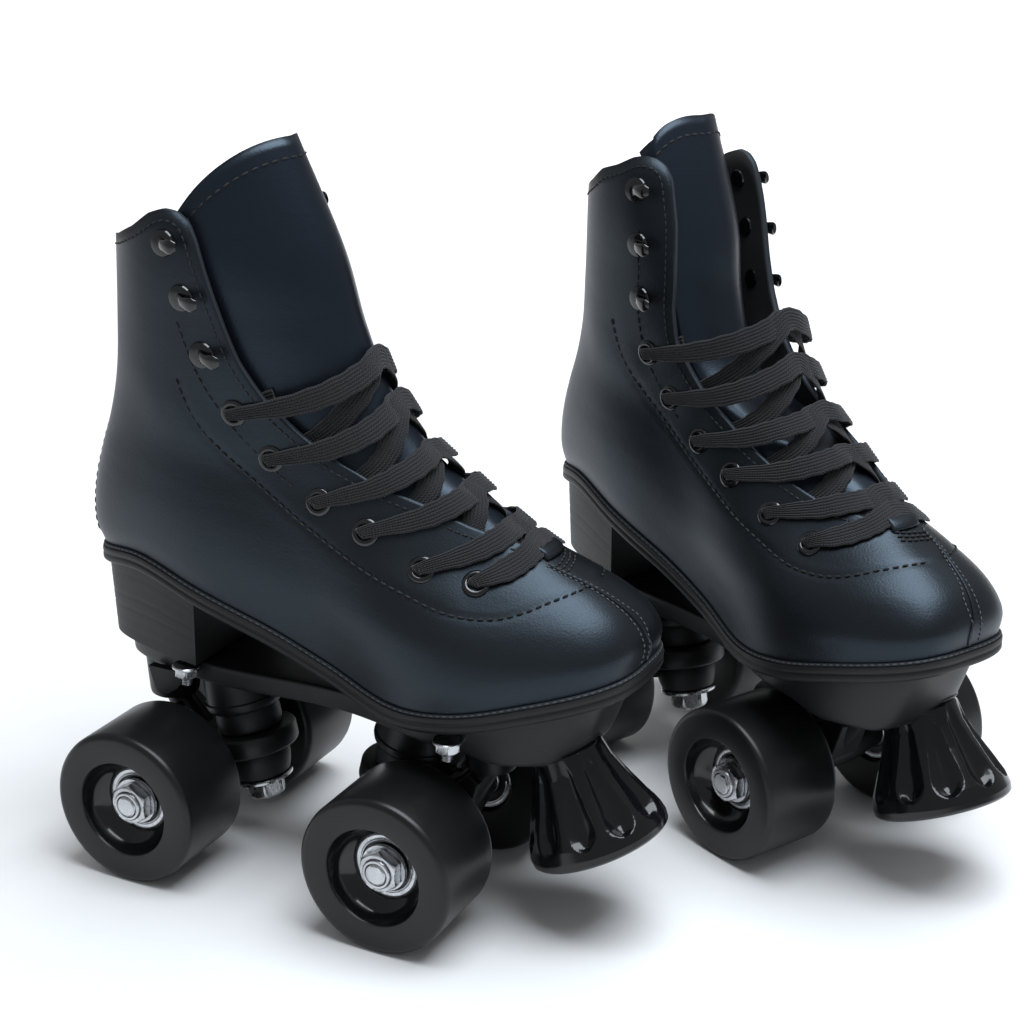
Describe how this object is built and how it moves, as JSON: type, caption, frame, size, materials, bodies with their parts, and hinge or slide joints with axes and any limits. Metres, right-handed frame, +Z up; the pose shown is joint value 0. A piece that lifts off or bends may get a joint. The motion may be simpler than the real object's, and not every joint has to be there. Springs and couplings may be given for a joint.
{
  "type": "quad roller skates",
  "caption": "Pair of high-top lace-up quad roller skates: black boots on moulded plates with steering trucks, wide wheels and fluted toe stops.",
  "frame": {"origin": "on the floor, under the centre of the pair's bounding box", "axes": "+X along the right skate towards its toe, +Y from the right skate to the left one, +Z up"},
  "size_m": [0.3042, 0.2574, 0.2463],
  "materials": {
    "synthetic_leather": "satin",
    "tongue_leather": "satin",
    "sole_rubber": "matt",
    "lining": "matt",
    "lace_cloth": "woven",
    "plate_plastic": "moulded",
    "stop_rubber": "glossy",
    "steel": "zinc plated",
    "wheel_urethane": "satin",
    "cushion_rubber": "matt"
  },
  "bodies": {
    "right_boot": {"right_boot_upper": "synthetic_leather", "right_tongue": "tongue_leather", "right_outsole": "sole_rubber", "right_insole": "lining", "right_lace": "lace_cloth", "right_plate": "plate_plastic", "right_toe_stop": "stop_rubber", "right_toe_stop_bolt": "steel", "right_front_kingpin": "steel", "right_front_cushion_upper": "cushion_rubber", "right_front_cushion_lower": "cushion_rubber", "right_rear_kingpin": "steel", "right_rear_cushion_upper": "cushion_rubber", "right_rear_cushion_lower": "cushion_rubber"},
    "right_front_truck": {"right_front_hanger": "plate_plastic", "right_front_axle": "steel", "right_front_outer_nut": "steel", "right_front_inner_nut": "steel"},
    "right_front_outer_wheel": {"right_front_outer_wheel": "wheel_urethane", "right_front_outer_bearings": "steel"},
    "right_front_inner_wheel": {"right_front_inner_wheel": "wheel_urethane", "right_front_inner_bearings": "steel"},
    "right_rear_truck": {"right_rear_hanger": "plate_plastic", "right_rear_axle": "steel", "right_rear_outer_nut": "steel", "right_rear_inner_nut": "steel"},
    "right_rear_outer_wheel": {"right_rear_outer_wheel": "wheel_urethane", "right_rear_outer_bearings": "steel"},
    "right_rear_inner_wheel": {"right_rear_inner_wheel": "wheel_urethane", "right_rear_inner_bearings": "steel"},
    "left_boot": {"left_boot_upper": "synthetic_leather", "left_tongue": "tongue_leather", "left_outsole": "sole_rubber", "left_insole": "lining", "left_lace": "lace_cloth", "left_plate": "plate_plastic", "left_toe_stop": "stop_rubber", "left_toe_stop_bolt": "steel", "left_front_kingpin": "steel", "left_front_cushion_upper": "cushion_rubber", "left_front_cushion_lower": "cushion_rubber", "left_rear_kingpin": "steel", "left_rear_cushion_upper": "cushion_rubber", "left_rear_cushion_lower": "cushion_rubber"},
    "left_front_truck": {"left_front_hanger": "plate_plastic", "left_front_axle": "steel", "left_front_outer_nut": "steel", "left_front_inner_nut": "steel"},
    "left_front_outer_wheel": {"left_front_outer_wheel": "wheel_urethane", "left_front_outer_bearings": "steel"},
    "left_front_inner_wheel": {"left_front_inner_wheel": "wheel_urethane", "left_front_inner_bearings": "steel"},
    "left_rear_truck": {"left_rear_hanger": "plate_plastic", "left_rear_axle": "steel", "left_rear_outer_nut": "steel", "left_rear_inner_nut": "steel"},
    "left_rear_outer_wheel": {"left_rear_outer_wheel": "wheel_urethane", "left_rear_outer_bearings": "steel"},
    "left_rear_inner_wheel": {"left_rear_inner_wheel": "wheel_urethane", "left_rear_inner_bearings": "steel"}
  },
  "joints": [
    {"name": "right_front_steer", "type": "hinge", "parent": "right_boot", "child": "right_front_truck", "pos_m": [-0.00006, -0.07572, 0.0475], "axis": [0.9373, 0, 0.3486], "range_deg": [-6, 6], "stiffness_Nm_per_rad": 6, "deforming": ["right_front_cushion_upper", "right_front_cushion_lower"]},
    {"name": "right_front_outer_spin", "type": "hinge", "parent": "right_front_truck", "child": "right_front_outer_wheel", "pos_m": [-0.01506, -0.11272, 0.027], "axis": [0, 1, 0], "continuous": true},
    {"name": "right_front_inner_spin", "type": "hinge", "parent": "right_front_truck", "child": "right_front_inner_wheel", "pos_m": [-0.01506, -0.03872, 0.027], "axis": [0, 1, 0], "continuous": true},
    {"name": "right_rear_steer", "type": "hinge", "parent": "right_boot", "child": "right_rear_truck", "pos_m": [-0.12606, -0.07572, 0.0475], "axis": [-0.9373, 0, 0.3486], "range_deg": [-6, 6], "stiffness_Nm_per_rad": 6, "deforming": ["right_rear_cushion_upper", "right_rear_cushion_lower"]},
    {"name": "right_rear_outer_spin", "type": "hinge", "parent": "right_rear_truck", "child": "right_rear_outer_wheel", "pos_m": [-0.11106, -0.11272, 0.027], "axis": [0, 1, 0], "continuous": true},
    {"name": "right_rear_inner_spin", "type": "hinge", "parent": "right_rear_truck", "child": "right_rear_inner_wheel", "pos_m": [-0.11106, -0.03872, 0.027], "axis": [0, 1, 0], "continuous": true},
    {"name": "left_front_steer", "type": "hinge", "parent": "left_boot", "child": "left_front_truck", "pos_m": [0.09593, 0.01958, 0.0475], "axis": [0.8344, -0.427, 0.3486], "range_deg": [-6, 6], "stiffness_Nm_per_rad": 6, "deforming": ["left_front_cushion_upper", "left_front_cushion_lower"]},
    {"name": "left_front_outer_spin", "type": "hinge", "parent": "left_front_truck", "child": "left_front_outer_wheel", "pos_m": [0.09943, 0.05935, 0.027], "axis": [-0.4555, -0.8902, 0], "continuous": true},
    {"name": "left_front_inner_spin", "type": "hinge", "parent": "left_front_truck", "child": "left_front_inner_wheel", "pos_m": [0.06572, -0.00652, 0.027], "axis": [-0.4555, -0.8902, 0], "continuous": true},
    {"name": "left_rear_steer", "type": "hinge", "parent": "left_boot", "child": "left_rear_truck", "pos_m": [-0.01624, 0.07698, 0.0475], "axis": [-0.8344, 0.427, 0.3486], "range_deg": [-6, 6], "stiffness_Nm_per_rad": 6, "deforming": ["left_rear_cushion_upper", "left_rear_cushion_lower"]},
    {"name": "left_rear_outer_spin", "type": "hinge", "parent": "left_rear_truck", "child": "left_rear_outer_wheel", "pos_m": [0.01397, 0.10309, 0.027], "axis": [-0.4555, -0.8902, 0], "continuous": true},
    {"name": "left_rear_inner_spin", "type": "hinge", "parent": "left_rear_truck", "child": "left_rear_inner_wheel", "pos_m": [-0.01974, 0.03721, 0.027], "axis": [-0.4555, -0.8902, 0], "continuous": true},
    {"name": "left_skate_lift", "type": "slide", "parent": "right_boot", "child": "left_boot", "axis": [0, 0, 1], "range_m": [0, 0.15]}
  ]
}
